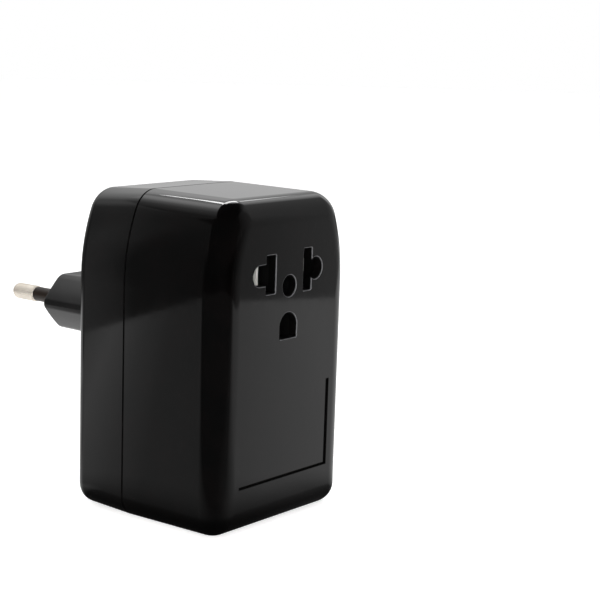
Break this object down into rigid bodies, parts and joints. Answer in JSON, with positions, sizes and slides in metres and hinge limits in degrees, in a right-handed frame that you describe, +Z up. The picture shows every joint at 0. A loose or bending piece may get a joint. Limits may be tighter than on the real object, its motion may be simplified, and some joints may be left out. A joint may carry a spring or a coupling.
{
  "type": "travel voltage converter",
  "caption": "Upright gloss black travel voltage converter with a mains plug on its back, a socket for blades and round pins on its front and a sliding voltage selector.",
  "frame": {"origin": "middle of the flat underside of the front shell, on the surface that the converter stands on", "axes": "+X to the right when facing the socket, +Y from the socket face towards the plug, +Z up"},
  "size_m": [0.0474, 0.0805, 0.0765],
  "materials": {
    "housing_black": "polished moulded plastic, gloss black",
    "plug_black": "moulded plastic, satin black",
    "pin_nickel": "nickel plated brass, bright",
    "sleeve_black": "moulded sleeve, satin",
    "screw_steel": "zinc plated",
    "carrier_black": "moulded, matt black",
    "contact_nickel": "nickel plated strip",
    "core_steel": "stacked laminations",
    "strap_steel": "zinc plated sheet",
    "former_plastic": "cream nylon",
    "winding_copper": "enamelled copper wire",
    "tape_yellow": "polyester tape",
    "fuse_case": "plated case",
    "base_phenolic": "phenolic board",
    "knob_grey": "moulded, satin dark grey",
    "bridge_bronze": "spring bronze",
    "lead_brown": "insulated lead",
    "lead_blue": "insulated lead",
    "lead_red": "insulated lead",
    "lead_yellow": "insulated lead",
    "lead_black": "insulated lead",
    "lead_white": "insulated lead"
  },
  "bodies": {
    "housing": {"front_shell": "housing_black", "back_shell": "housing_black", "plug_body": "plug_black", "plug_pin_live": "pin_nickel", "plug_pin_neutral": "pin_nickel", "pin_sleeve_live": "sleeve_black", "pin_sleeve_neutral": "sleeve_black", "housing_screws": "screw_steel", "contact_carrier": "carrier_black", "carrier_screws": "screw_steel", "live_contact": "contact_nickel", "neutral_contact": "contact_nickel", "core_e_stack": "core_steel", "core_i_stack": "core_steel", "core_strap": "strap_steel", "coil_former": "former_plastic", "input_winding": "winding_copper", "output_winding": "winding_copper", "winding_tape": "tape_yellow", "former_pins": "contact_nickel", "thermal_fuse": "fuse_case", "switch_frame": "strap_steel", "switch_base": "base_phenolic", "switch_terminals": "contact_nickel", "live_in_lead": "lead_brown", "neutral_in_lead": "lead_blue", "switch_feed_lead": "lead_brown", "tap_low_lead": "lead_red", "tap_high_lead": "lead_yellow", "live_out_lead": "lead_black", "neutral_out_lead": "lead_white"},
    "selector": {"switch_slider": "knob_grey", "switch_contacts": "bridge_bronze"}
  },
  "joints": [
    {"name": "selector_slide", "type": "slide", "parent": "housing", "child": "selector", "axis": [-1, 0, 0], "range_m": [0, 0.0022]}
  ]
}
